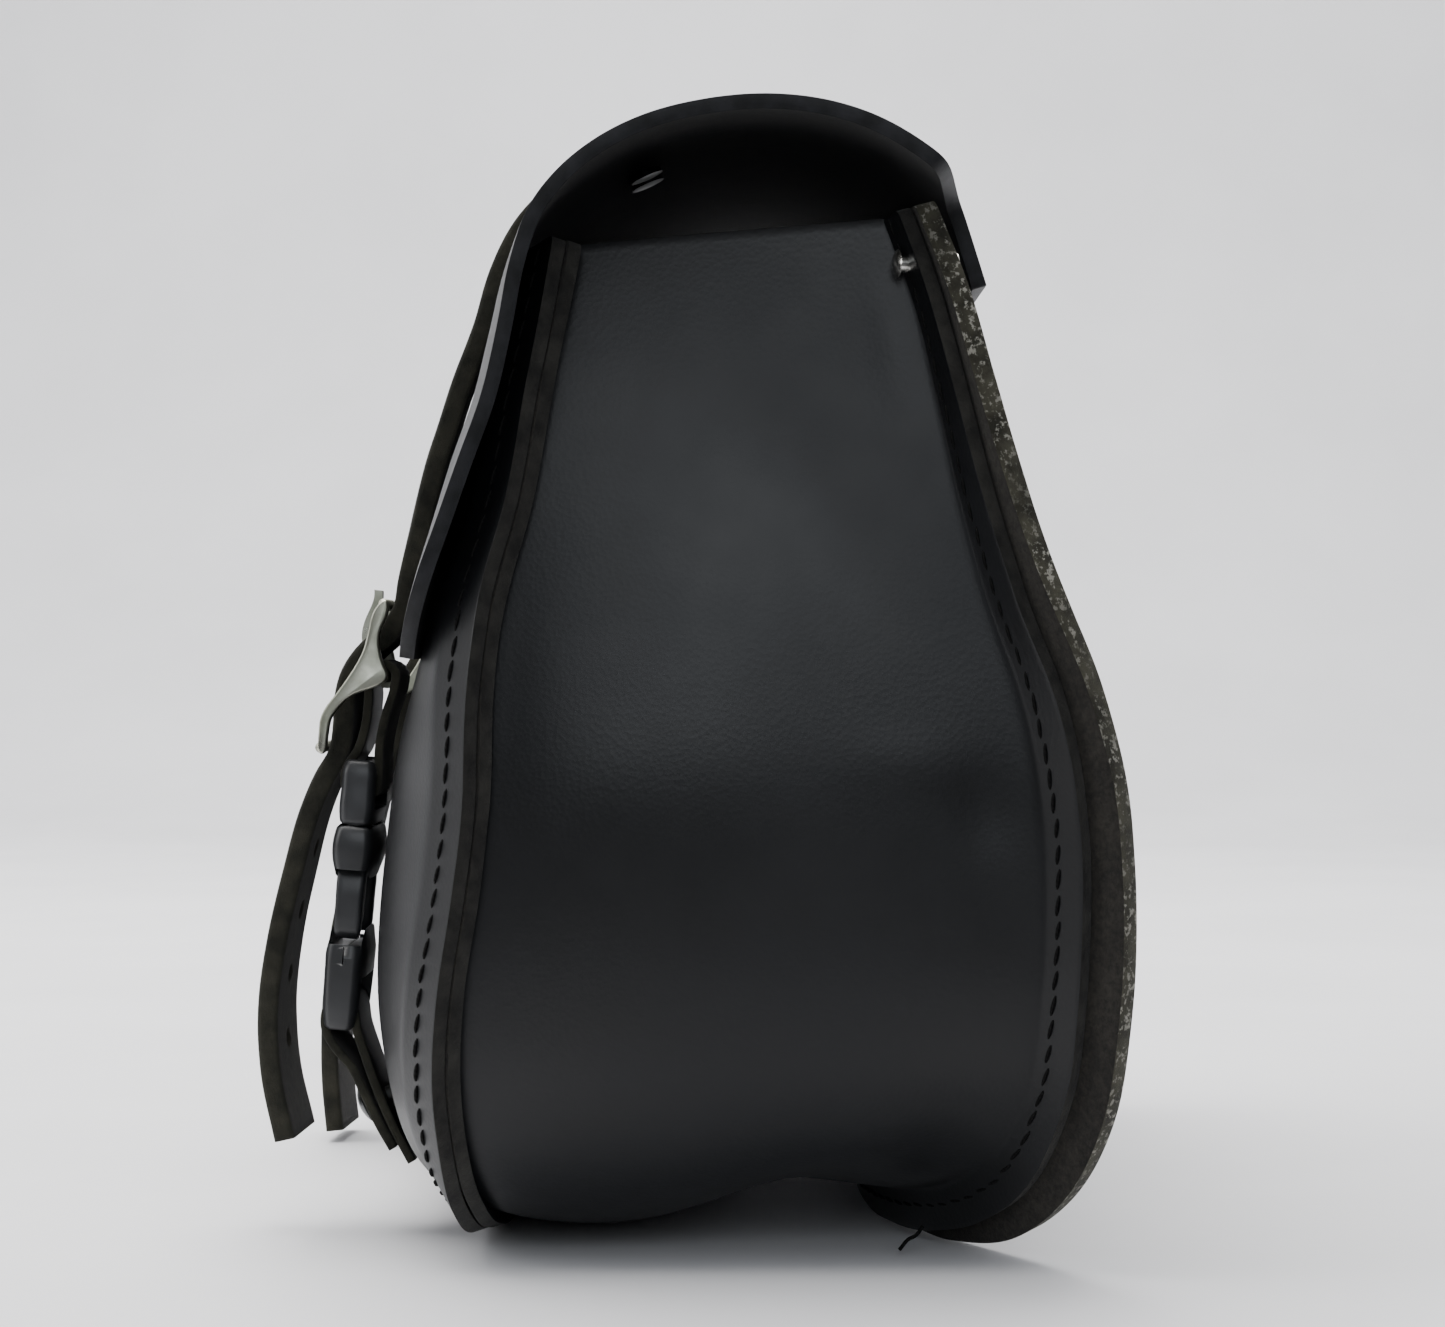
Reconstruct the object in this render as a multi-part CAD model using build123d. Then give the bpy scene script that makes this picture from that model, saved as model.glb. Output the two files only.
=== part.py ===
from build123d import *
import math
import os

import numpy as np

# Leather saddlebag. X runs along the bag, the buckled front faces -Y, the motorcycle side faces +Y,
# Z is up. The origin is on the ground under the middle of the bag. Everything is in mm.

# ---- leather -------------------------------------------------------------------------------------
hide = 3.2                  # front panel and lid
gusset_hide = 3.0
back_hide = 4.6             # stiff back panel
strap_hide = 4.6
fold_hide = 2.0             # thin straps that are folded round a bar
seam_gap = 0.6              # between two sewn layers
flange = 12.0               # sewn flange, from its bend to its cut edge
back_allowance = 8.0        # how far the back panel stands past the gusset's flange, at the widest

# ---- the two sewn seams, half of each, from the mouth down to the middle of the bottom -----------
# each point is the flange's bend (x, y, z) and how far the flange leans back, in degrees
front_seam = [
    (127.6, -29.9, 217.0, 30), (130.0, -32.2, 206.0, 32), (134.0, -37.0, 184.6, 36),
    (136.5, -41.0, 163.6, 38), (137.5, -46.7, 142.7, 38), (138.5, -49.3, 121.9, 38),
    (138.8, -50.0, 101.1, 38), (138.5, -52.4, 80.3, 38), (137.3, -55.6, 60.0, 38),
    (134.0, -56.4, 42.0, 37), (127.0, -54.2, 28.0, 33), (113.0, -50.6, 19.0, 26),
    (94.0, -47.4, 14.8, 18), (70.0, -45.0, 13.2, 13), (40.0, -44.2, 12.9, 12), (0.0, -44.0, 12.9, 12),
]
back_seam = [
    (127.5, 45.2, 224.0, 15), (130.5, 51.6, 205.7, 15), (133.7, 56.3, 184.5, 19),
    (136.2, 60.4, 163.5, 26), (138.0, 65.5, 142.7, 34), (139.2, 72.1, 121.9, 42),
    (139.6, 75.7, 101.1, 47), (139.0, 76.7, 80.3, 48), (137.3, 76.0, 60.0, 48),
    (133.0, 74.0, 42.0, 47), (124.5, 69.5, 28.0, 43), (110.0, 61.0, 18.5, 36),
    (92.0, 51.5, 14.6, 28), (70.0, 44.5, 13.5, 22), (40.0, 41.5, 13.2, 20), (0.0, 40.5, 13.2, 20),
]

# ---- middle profiles of the two panels' inner faces, (z, y) from the mouth down ------------------
front_middle = [
    (217, -30.2), (205, -33.8), (184, -40.6), (165, -46.8), (150, -51.3), (141, -53.8), (126, -57.6),
    (110, -62.4), (99, -64.2), (88, -65.7), (76, -67.0), (65, -67.7), (54, -67.7), (43, -66.3),
    (31, -63.3), (21, -59.1), (13, -53.0),
]
back_middle = [
    (226, 51.6), (217, 54.8), (207, 57.4), (195, 58.9), (182, 59.4), (52, 59.4), (36, 57.6),
    (24, 53.5), (13, 46.5),
]
front_roundness = 4.6       # power of the front panel's roll-off towards its ends
back_flat = 72.0            # half-width of the back panel's flat middle
back_flare = 1.9            # power of its flare towards the ends

# ---- lid -----------------------------------------------------------------------------------------
# outer face at the lid's ends: y, z, and how much further out its middle stands
lid_profile = [
    (55.2, 233.8, 1.0), (49.5, 238.2, 2.0), (41.0, 243.0, 2.6), (30.5, 246.4, 2.8),
    (20.0, 247.7, 3.0), (4.0, 246.5, 3.0), (-8.7, 243.1, 2.6), (-17.5, 238.7, 2.4),
    (-25.3, 232.6, 2.6), (-31.6, 224.6, 3.8), (-35.6, 213.4, 5.4), (-38.2, 200.0, 6.6),
    (-41.7, 185.0, 7.0), (-46.5, 171.8, 6.8), (-50.9, 159.3, 5.8), (-55.2, 147.0, 4.7),
    (-57.5, 138.0, 4.5), (-58.6, 130.5, 4.6),
]
lid_half = 150.0
lid_corner = 26.0           # radius of the flap's lower corners
hinge_half = 124.0
hinge_profile = [(59.5, 228.9), (61.3, 223.5), (63.2, 217.5), (65.3, 210.8)]    # outer face

# ---- straps and fittings -------------------------------------------------------------------------
strap_x = 75.0              # middle of each strap line
strap_width = 25.0
strap_fall = [              # outer face of the lid's strap, from where it leaves the lid
    (-53.2, 193.5), (-56.1, 184.5), (-59.1, 175.4), (-61.4, 166.4), (-63.4, 157.4), (-65.0, 148.5),
    (-65.8, 142.6), (-68.8, 138.0), (-73.8, 133.6), (-77.6, 128.0), (-79.2, 122.0), (-79.5, 116.0),
    (-80.4, 110.2), (-83.4, 105.0), (-86.4, 98.0), (-90.7, 82.4), (-93.9, 68.0), (-95.9, 50.6),
    (-95.0, 36.0), (-91.8, 21.5),
]
far_tail = [(-93.9, 66.0), (-94.6, 48.0), (-94.7, 30.0), (-94.4, 15.0), (-93.8, 3.0)]   # hangs lower
centre_bar = (-68.3, 126.6)
centre_bar_r = 1.4
top_bar = (-67.7, 142.8)
foot_bar = (-82.1, 110.4)
clip_y, clip_z = -74.3, 92.8    # mouth of the plastic clip
clip_tilt = 4.7             # degrees, lower end outwards
clip_width = 34.0
clip_depth = 9.2
arm_root = -2.4             # height of an arm's pivot below the mouth


def offset_path(path, distance):
    """The path moved sideways to its left, in its own plane."""
    p = np.array(path, float)
    along = np.gradient(p, axis=0)
    along /= np.linalg.norm(along, axis=1)[:, None]
    left = np.stack([-along[:, 1], along[:, 0]], axis=1)
    return p + left * distance


def mitred(path, distance):
    """An open polyline moved sideways to its right, with mitred corners."""
    p = np.array(path, float)
    way = np.diff(p, axis=0)
    way /= np.linalg.norm(way, axis=1)[:, None]
    side = np.stack([way[:, 1], -way[:, 0]], axis=1)
    result = [p[0] + side[0] * distance]
    for k in range(1, len(p) - 1):
        both = side[k - 1] + side[k]
        result.append(p[k] + both * distance * 2 / float(both @ both))
    result.append(p[-1] + side[-1] * distance)
    return [tuple(a) for a in result]


def loft_of(rows):
    """A closed solid through closed rows of points that all have the same count."""
    wires = [Wire.make_polygon([Vector(*p) for p in row], close=True) for row in rows]
    return Solid.make_loft(wires, ruled=True)


def strip(path, thickness, x_middle, width):
    """A strap: its face's path in YZ, its thickness laid to the path's left, and its width in X."""
    low = x_middle - width / 2
    a = [(low, y, z) for y, z in path]
    b = [(low, y, z) for y, z in offset_path(path, thickness)]
    outline = Wire([Spline(*a), Line(a[-1], b[-1]), Spline(*b[::-1]), Line(b[0], a[0])])
    return extrude(Face(outline), amount=width, dir=(1, 0, 0))


def box_between(low, high):
    size = [b - a for a, b in zip(low, high)]
    return Pos(*[(a + b) / 2 for a, b in zip(low, high)]) * Box(*size)


def rod(x_middle, spot, radius, length):
    """A round bar along X through the (y, z) spot."""
    return Pos(x_middle, spot[0], spot[1]) * Rot(0, 90, 0) * Cylinder(radius, length)


# ---- rivets --------------------------------------------------------------------------------------
rivet_shank = 1.8
rivet_hole = 2.0


def rivet(grip, cap_r, cap_h):
    """Capped rivet: cap standing on the face at z = 0, shank through the grip, washer behind."""
    ball = (cap_r ** 2 + cap_h ** 2) / (2 * cap_h)
    cap = Pos(0, 0, cap_h - ball) * Sphere(ball) & Pos(0, 0, 0.1 + cap_h / 2) * Cylinder(cap_r, cap_h)
    shank = Pos(0, 0, 0.1 - grip / 2) * Cylinder(rivet_shank, grip + 0.6)
    washer = Pos(0, 0, -grip - 0.6) * Cylinder(cap_r * 0.85, 1.0)
    return cap + shank + washer


def placed(spot, outward, shape):
    """The shape with its local Z turned to the outward direction, at the spot."""
    return Plane(origin=spot, z_dir=outward).location * shape


def drilled(body, spots, depth):
    for spot, outward in spots:
        body -= placed(spot, outward, Cylinder(rivet_hole, 2 * depth))
    return body


def grouped(shapes):
    return Compound(children=[s if isinstance(s, Solid) else s.solid() for s in shapes])


strip_out = (0, math.cos(math.radians(17)), math.sin(math.radians(17)))
hinge_rivet_spots = [((x, 63.35, 217.0), strip_out) for x in (-92, -46, 0, 46, 92)]
anchor_out = (0, -math.cos(math.radians(24)), -math.sin(math.radians(24)))
anchor_spots = [((side * strap_x + dx, -72.6, 29.3), anchor_out) for side in (-1, 1) for dx in (-6, 6)]


# ---- sewn shell ----------------------------------------------------------------------------------
def seam_frames(seam):
    """For each station: the bend point, the outward direction in XZ, and the flange's direction."""
    s = np.array(seam, float)
    along = np.gradient(s[:, [0, 2]], axis=0)
    along[-1] = (-1, 0)
    along /= np.linalg.norm(along, axis=1)[:, None]
    out = np.stack([-along[:, 1], along[:, 0]], axis=1)
    lean = np.radians(s[:, 3])
    way = np.stack([np.cos(lean) * out[:, 0], np.sin(lean), np.cos(lean) * out[:, 1]], axis=1)
    return s[:, :3], out, way


front_bend, front_out, front_way = seam_frames(front_seam)
back_bend, back_out, back_way = seam_frames(back_seam)
front_reach = np.full(len(front_bend), flange)
back_share = np.interp(back_bend[:, 2], [13, 20, 30, 60, 130, 224], [0.15, 0.5, 0.9, 1.0, 0.75, 0.2])
back_reach = flange + back_allowance * back_share


def half_section(bend, way, reach, middle, roll, z):
    """Half a panel's inner face at height z: (x, y) from the middle out to its cut edge."""
    rim = []
    for share in np.linspace(0, 1, 7):
        line = (bend + way * (reach * share)[:, None])[::-1]
        if z >= line[0, 2]:
            rim.append([np.interp(z, line[:, 2], line[:, k]) for k in (0, 1)])
    if z > bend[-1, 2]:
        table = np.array(middle[::-1])
        y_middle = np.interp(z, table[:, 0], table[:, 1])
        x_bend, y_bend = rim[0]
        inner = [[u * x_bend, y_middle + (y_bend - y_middle) * roll(u * x_bend, x_bend)]
                 for u in np.linspace(0, 1, 13)[:-1]]
    else:
        inner = [[0.0, rim[0][1]]]
    return np.array(inner + rim)


def front_roll(x, x_end):
    return (x / x_end) ** front_roundness


def back_roll(x, x_end):
    return max(0.0, (x - back_flat) / (x_end - back_flat)) ** back_flare


def panel(bend, way, reach, middle, roll, levels, thickness, side):
    """A sewn panel as a loft of level sections. side is -1 for the front panel, +1 for the back."""
    rows = []
    for z in levels:
        half = half_section(bend, way, reach, middle, roll, z)
        x = half[-1, 0] * np.linspace(0, 1, 15) ** 0.8
        y = np.interp(x, half[:, 0], half[:, 1])
        path = np.concatenate([np.stack([-x[:0:-1], y[:0:-1]], axis=1), np.stack([x, y], axis=1)])
        near = offset_path(path, side * seam_gap / 2)
        far = offset_path(path, side * (seam_gap / 2 + thickness))
        rows.append([(a, b, z) for a, b in near] + [(a, b, z) for a, b in far[::-1]])
    return loft_of(rows)


def make_front_panel():
    levels = [217, 206, 195, 184, 174, 163, 153, 142, 132, 121, 111, 101, 91, 80, 70, 60, 51, 43,
              36, 30, 24.5, 20, 16.5, 14, 12, 9.5, 7, 4.5, 2.6]
    body = panel(front_bend, front_way, front_reach, front_middle, front_roll, levels, hide, -1)
    return drilled(body, anchor_spots, 14)


def make_back_panel():
    levels = [226, 217, 206, 195, 184, 174, 163, 153, 142, 132, 121, 111, 101, 91, 80, 70, 60, 51,
              42, 35, 28, 23, 19, 16.5, 14.5, 12, 9, 6, 4.5]
    body = panel(back_bend, back_way, back_reach, back_middle, back_roll, levels, back_hide, 1)
    for x, z in eyelet_spots:
        body -= Pos(x, back_plane, z) * Rot(90, 0, 0) * Cylinder(eyelet_r + eyelet_wall + 0.2, 30)
    return drilled(body, hinge_rivet_spots + seam_rivet_spots(), 16)


def gusset_section(i):
    """The gusset across one station: front flange, web that bows outwards, back flange."""
    low = i / (len(front_bend) - 1)
    y0, depth = front_bend[i, 1], back_bend[i, 1] - front_bend[i, 1]
    bulge = np.interp(low, [0, 0.35, 0.6, 0.8, 1.0], [0.6, 3.0, 3.0, 8.5, 9.55])
    lean_f, lean_b = math.radians(front_seam[i][3]), math.radians(back_seam[i][3])
    path = [(flange * math.cos(lean_f), y0 + flange * math.sin(lean_f)), (0.0, y0)]
    path += [(bulge * math.sin(math.pi * q ** 0.7), y0 + depth * q) for q in (0.14, 0.27, 0.42, 0.6, 0.8)]
    path += [(0.0, y0 + depth), (flange * math.cos(lean_b), y0 + depth + flange * math.sin(lean_b))]
    inner = mitred(path, seam_gap / 2)
    outer = mitred(path, seam_gap / 2 + gusset_hide)
    row = []
    for h, y in inner + outer[::-1]:
        share = (y - y0) / depth
        base = front_bend[i] + (back_bend[i] - front_bend[i]) * share
        out = front_out[i] + (back_out[i] - front_out[i]) * share
        rise = out[1] if i > 0 else 0.0     # the mouth is cut flat
        row.append((base[0] + h * out[0], y, base[2] + h * rise))
    return row


def make_gusset():
    near = [gusset_section(i) for i in range(len(front_bend))]
    far = [[(-x, y, z) for x, y, z in row] for row in near]
    return drilled(loft_of(near + far[-2::-1]), seam_rivet_spots(), 16)


def seam_rivet_spots():
    """One rivet at the top of the back seam, near and far end, on the gusset flange's face."""
    lean = math.radians(back_seam[0][3])
    middle = (back_bend[0] * 0.4 + back_bend[1] * 0.6) + back_way[0] * flange * 0.5
    face = middle + np.array([math.sin(lean), -math.cos(lean), 0]) * (gusset_hide + seam_gap / 2 + 1.9)
    return [((side * face[0], face[1], face[2]), (side * math.sin(lean), -math.cos(lean), 0))
            for side in (-1, 1)]


# ---- mounting eyelets in the flat middle of the back panel ---------------------------------------
eyelet_r = 4.2              # clear radius
eyelet_wall = 1.2
eyelet_half_x, eyelet_half_z, eyelet_middle = 60.0, 45.0, 130.0
back_plane = 59.4 + seam_gap / 2 + back_hide        # outer face of the flat middle
eyelet_spots = [(sx * eyelet_half_x, eyelet_middle + sz * eyelet_half_z)
                for sx in (-1, 1) for sz in (-1, 1)]


def make_eyelets():
    """A metal tube through the leather with a flat ring on each face."""
    ring_t = 1.0
    pieces = []
    for x, z in eyelet_spots:
        length = back_hide + 2 * (ring_t + 0.2)
        body = Cylinder(eyelet_r + eyelet_wall, length)
        for end in (-1, 1):
            body += Pos(0, 0, end * (length - ring_t) / 2) * Cylinder(eyelet_r + 4.2, ring_t)
        body -= Cylinder(eyelet_r, length + 2)
        pieces.append(Pos(x, back_plane - back_hide / 2, z) * Rot(90, 0, 0) * body)
    return grouped(pieces)


# ---- lid -----------------------------------------------------------------------------------------
def lid_faces(x):
    """Outer and inner (y, z) rows of the lid at x, cut shorter at the flap's rounded corners."""
    profile = np.array(lid_profile)
    along = np.gradient(profile[:, :2], axis=0)
    along /= np.linalg.norm(along, axis=1)[:, None]
    normal = np.stack([along[:, 1], -along[:, 0]], axis=1)
    outer = profile[:, :2] + normal * (profile[:, 2] * (1 - abs(x / lid_half) ** 4))[:, None]
    inner = outer - normal * hide
    run = np.concatenate([[0], np.cumsum(np.linalg.norm(np.diff(profile[:, :2], axis=0), axis=1))])
    inside = max(0.0, abs(x) - (lid_half - lid_corner))
    cut = lid_corner - math.sqrt(max(0.0, lid_corner ** 2 - inside ** 2))
    at = np.linspace(0, run[-1] - cut, len(run))
    return [np.stack([np.interp(at, run, line[:, k]) for k in (0, 1)], axis=1) for line in (outer, inner)]


def strap_path(side=1):
    """Outer face of a lid strap: it lies on the lid over the crown, then falls to the buckle."""
    on_lid = lid_faces(strap_x - strap_width / 2)[0][5:12]
    fall = strap_fall if side > 0 else strap_fall[:16] + far_tail
    return [tuple(p) for p in offset_path(on_lid, -strap_hide - 0.6)] + fall


def strap_rivet_spots():
    """Two rivets side by side near each lid strap's upper end."""
    path = np.array(strap_path())
    along = path[2] - path[0]
    along /= np.linalg.norm(along)
    outward = np.array([along[1], -along[0]])
    y, z = path[1] + outward * 0.3
    return [((side * strap_x + dx, y, z), (0, outward[0], outward[1]))
            for side in (-1, 1) for dx in (-6, 6)]


def make_lid():
    stations = [0, 25, 50, 75, 100, 124, 132, 138, 143, 147, 149.2, lid_half]
    rows = []
    for x in [-s for s in stations[:0:-1]] + stations:
        outer, inner = lid_faces(x)
        rows.append([(x, y, z) for y, z in outer] + [(x, y, z) for y, z in inner[::-1]])
    return drilled(loft_of(rows), strap_rivet_spots(), 14)


def make_hinge_strip():
    """The lid's rear edge, riveted to the outside of the back panel."""
    path = hinge_profile[::-1]
    return drilled(strip(path, hide, 0, 2 * hinge_half), hinge_rivet_spots, 10)


def make_lid_strap(side):
    body = strip(strap_path(side), strap_hide, side * strap_x, strap_width)
    tongue_slot = box_between((side * strap_x - 2.7, -84, 127.5), (side * strap_x + 2.7, -60, 139.5))
    body -= tongue_slot
    for run in (0, 1, 2, 3):    # spare holes down the hanging tail
        body -= Pos(side * strap_x, -90, 88 - 15 * run) * Rot(90, 0, 0) * Cylinder(2.2, 30)
    spots = [s for s in strap_rivet_spots() if s[0][0] * side > 0]
    return drilled(body, spots, 10)


# ---- metal buckle --------------------------------------------------------------------------------
def make_buckle_frame(side):
    """Centre-bar buckle: two side rails that sweep outwards to the foot, and three cross bars."""
    outer = [(-66.9, 144.6), (-70.2, 141.6), (-71.3, 136.0), (-72.6, 131.2), (-77.6, 123.6),
             (-81.9, 118.4), (-82.0, 113.0), (-81.8, 109.2)]
    inner = [(-79.8, 109.2), (-79.6, 114.0), (-79.2, 118.0), (-75.0, 122.6), (-69.0, 124.2),
             (-66.2, 126.4), (-68.2, 130.0), (-68.6, 136.0), (-66.4, 141.0)]
    body = None
    for end in (-1, 1):
        x0 = side * strap_x + end * 15.0 - 1.5
        ring = [(x0, y, z) for y, z in outer + inner]
        rail = extrude(Face(Wire.make_polygon([Vector(*p) for p in ring], close=True)), amount=3.0,
                       dir=(1, 0, 0))
        body = rail if body is None else body + rail
    body += rod(side * strap_x, top_bar, 1.3, 29)
    body += rod(side * strap_x, centre_bar, centre_bar_r, 29)
    body += Pos(side * strap_x, *foot_bar) * Box(29, 1.6, 3.0)
    return body


def make_buckle_tongue(side):
    """Flat tongue with an eye on the centre bar and its tip outside the top bar."""
    path = [(-68.5, 128.2), (-70.6, 130.4), (-71.9, 133.2), (-72.2, 136.4), (-71.2, 139.8),
            (-69.8, 143.0), (-69.4, 146.2)]
    body = strip(path, 1.9, side * strap_x, 3.2)
    eye = rod(side * strap_x, centre_bar, centre_bar_r + 0.08 + 1.3, 3.2)
    return body + eye - rod(side * strap_x, centre_bar, centre_bar_r + 0.08, 6)


def make_buckle_tab(side):
    """Folded leather that hangs the metal buckle from the plastic clip's upper bar."""
    path = [(-72.6, 100.2), (-70.8, 101.2), (-70.2, 104.8), (-70.1, 110.0), (-68.6, 118.0),
            (-66.6, 124.6), (-66.5, 127.4), (-68.3, 128.4), (-70.1, 127.2), (-70.5, 122.0),
            (-71.1, 116.0), (-72.8, 110.0), (-75.7, 104.8), (-75.4, 101.2), (-74.0, 100.2)]
    body = strip(path[::-1], fold_hide, side * strap_x, strap_width)
    body -= box_between((side * strap_x - 2.6, -80, 119), (side * strap_x + 2.6, -60, 135))
    return body


# ---- plastic side-release clip -------------------------------------------------------------------
def on_clip(side, shape):
    """From the clip's own frame (mouth at z = 0, up the strap, outside at -Y) to the bag."""
    return Pos(side * strap_x, clip_y, clip_z) * Rot(-clip_tilt, 0, 0) * shape


def rounded_block(width, depth, low, high, radius):
    body = Pos(0, 0, (low + high) / 2) * Box(width, depth, high - low)
    return fillet(body.edges().filter_by(Axis.Z), radius)


def make_clip_male(side):
    """Upper half: a block with a strap slot, and the guide bar between the two arms."""
    body = rounded_block(clip_width - 1, 8.4, 0.3, 15.0, 2.6)
    body -= Pos(0, 0, 6.4) * Box(strap_width + 1.6, 20, 5.0)
    body -= Pos(0, 0, 14.8) * Box(strap_width + 1.6, 20, 3.4)
    body -= Pos(0, 4.4, 13.0) * Box(strap_width + 1.6, 5.0, 8.5)
    body -= Pos(0, -4.4, 13.0) * Box(strap_width + 1.6, 5.0, 8.5)
    body += Pos(0, 0, -11.5) * Box(5.0, 4.0, 24.0)
    return on_clip(side, body)


def make_clip_arm(side, end):
    """Springy arm with a round root and a finger pad that fills the side window."""
    pivot = end * 11.4
    body = Pos(pivot, 0, arm_root) * Rot(90, 0, 0) * Cylinder(1.8, 6.6)
    body += Pos(pivot + end * 0.4, 0, (arm_root - 11) / 2) * Box(2.6, 6.6, arm_root + 11)
    body += Pos(end * 12.4, 0, -18.0) * Box(4.8, 6.6, 15.0)
    return on_clip(side, body)


def make_clip_female(side):
    """Lower half: socket with side windows, shoulder, and a strap slot above its end bar."""
    body = rounded_block(clip_width, clip_depth, -46.0, 0.0, 2.6)
    body -= Pos(0, 0, -13.7) * Box(30.6, 7.4, 27.6)
    body -= Pos(0, 0, -18.2) * Box(60, 7.4, 17.0)
    body -= Pos(0, 0, -37.4) * Box(strap_width + 1.4, 20, 6.6)
    for end in (-1, 1):
        body -= Pos(0, end * 4.4, -43.6) * Box(strap_width + 1.4, 6.0, 6.0)
    return on_clip(side, body)


def make_anchor_strap(side):
    """Strap folded through the clip's slot, its two ends laid together down the front panel."""
    path = [(-60.8, 17.4), (-65.4, 26.0), (-68.8, 34.0), (-71.3, 41.0), (-73.2, 47.0), (-73.9, 51.4),
            (-75.4, 54.4), (-78.0, 55.2), (-80.7, 54.0), (-82.2, 50.6), (-82.1, 46.4), (-80.0, 42.4),
            (-76.3, 38.0), (-73.4, 32.0), (-70.2, 25.4), (-66.8, 19.4)]
    body = strip(path, fold_hide, side * strap_x, strap_width)
    spots = [s for s in anchor_spots if s[0][0] * side > 0]
    return drilled(body, spots, 12)


def build():
    parts = {
        "front_panel": make_front_panel(),
        "gusset": make_gusset(),
        "back_panel": make_back_panel(),
        "lid": make_lid(),
        "hinge_strip": make_hinge_strip(),
        "mount_eyelets": make_eyelets(),
    }
    for name, side in (("near", 1), ("far", -1)):
        parts["lid_strap_" + name] = make_lid_strap(side)
        parts["buckle_frame_" + name] = make_buckle_frame(side)
        parts["buckle_tongue_" + name] = make_buckle_tongue(side)
        parts["buckle_tab_" + name] = make_buckle_tab(side)
        parts["clip_male_" + name] = make_clip_male(side)
        parts["clip_female_" + name] = make_clip_female(side)
        parts["clip_arm_outer_" + name] = make_clip_arm(side, side)
        parts["clip_arm_inner_" + name] = make_clip_arm(side, -side)
        parts["anchor_strap_" + name] = make_anchor_strap(side)
    rivets = {      # where they sit, how much leather they hold, and the cap's radius and height
        "hinge_rivets": (hinge_rivet_spots, 10.0, 4.6, 1.6),
        "anchor_rivets": (anchor_spots, 11.8, 4.6, 1.6),
        "lid_strap_rivets": (strap_rivet_spots(), 9.6, 4.6, 1.6),
        "seam_rivets": (seam_rivet_spots(), 11.8, 3.2, 1.2),
    }
    for name, (spots, grip, cap_r, cap_h) in rivets.items():
        parts[name] = grouped([placed(spot, way, rivet(grip, cap_r, cap_h)) for spot, way in spots])
    return parts


os.makedirs("parts", exist_ok=True)
for name, shape in build().items():
    export_step(shape, f"parts/{name}.step")
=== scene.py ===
import math

import bmesh
import bpy
import numpy as np
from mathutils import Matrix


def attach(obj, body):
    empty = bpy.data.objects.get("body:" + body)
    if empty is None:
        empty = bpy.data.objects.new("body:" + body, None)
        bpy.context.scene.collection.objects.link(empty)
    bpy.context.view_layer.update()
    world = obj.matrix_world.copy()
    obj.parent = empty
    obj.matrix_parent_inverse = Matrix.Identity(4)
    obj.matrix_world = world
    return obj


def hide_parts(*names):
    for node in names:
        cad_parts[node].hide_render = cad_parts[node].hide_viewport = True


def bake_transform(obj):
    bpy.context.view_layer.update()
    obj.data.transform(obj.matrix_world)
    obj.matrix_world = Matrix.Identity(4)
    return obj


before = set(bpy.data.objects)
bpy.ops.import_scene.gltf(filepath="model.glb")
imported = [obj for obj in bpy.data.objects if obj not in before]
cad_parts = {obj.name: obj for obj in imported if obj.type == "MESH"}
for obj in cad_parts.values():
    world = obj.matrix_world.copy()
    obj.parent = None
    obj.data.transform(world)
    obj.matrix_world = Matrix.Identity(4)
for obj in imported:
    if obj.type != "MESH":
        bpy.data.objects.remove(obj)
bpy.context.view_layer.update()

# Leather saddlebag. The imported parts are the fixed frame; the leather, its seams and its stitching
# are made here as surfaces. Tables are in mm in the parts' own frame and are scaled by mm below.
mm = 0.001
print("frame loaded,", len(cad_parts), "nodes")


def throughPoints(points, count):
    # smooth curve through the points: cubic Hermite pieces, each slope the central difference
    p = np.asarray(points, float)
    chord = np.concatenate([[0.0], np.cumsum(np.linalg.norm(np.diff(p, axis=0), axis=1))])
    slope = np.gradient(p, chord, axis=0)
    at = np.linspace(0, chord[-1], count)
    k = np.clip(np.searchsorted(chord, at, side="right") - 1, 0, len(p) - 2)
    h = (chord[k + 1] - chord[k])[:, None]
    s = (at - chord[k])[:, None] / h
    return ((2 * s**3 - 3 * s**2 + 1) * p[k] + (s**3 - 2 * s**2 + s) * h * slope[k]
            + (3 * s**2 - 2 * s**3) * p[k + 1] + (s**3 - s**2) * h * slope[k + 1])


def unit(v):
    # each vector over its own length
    return v / np.linalg.norm(v, axis=-1, keepdims=True)


def smoothStep(low, high, value):
    # t^2 (3 - 2 t) of the clipped share t between low and high
    t = np.clip((value - low) / (high - low), 0, 1)
    return t * t * (3 - 2 * t)


def ripple(along, seed, wave=34 * mm):
    # slow irregular line from -1 to 1: five sines of unlike lengths with seeded phases
    dice = np.random.default_rng(seed)
    lengths = wave * np.array([1.0, 1.7, 2.6, 0.61, 0.43])
    phases = dice.uniform(0, 2 * math.pi, 5)
    weights = np.array([0.3, 0.25, 0.2, 0.15, 0.1])
    return (np.sin(np.asarray(along)[..., None] * 2 * math.pi / lengths + phases) * weights).sum(-1)


def gridFaces(rows, columns, first=0, closed=False):
    # quads of a rows x columns grid of vertices, numbered row by row
    r, c = np.meshgrid(np.arange(rows - 1), np.arange(columns if closed else columns - 1), indexing="ij")
    right = (c + 1) % columns
    quads = np.stack([r * columns + c, r * columns + right, (r + 1) * columns + right,
                      (r + 1) * columns + c], axis=-1)
    return first + quads.reshape(-1, 4)


def facing(vertices, quads, wish):
    # the quads wound so that their mean normal agrees with the wished direction
    a, b, c = (vertices[quads[:, k]] for k in (0, 1, 2))
    agree = (np.cross(b - a, c - b) * wish).sum()
    return quads if agree > 0 else quads[:, ::-1]


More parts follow.
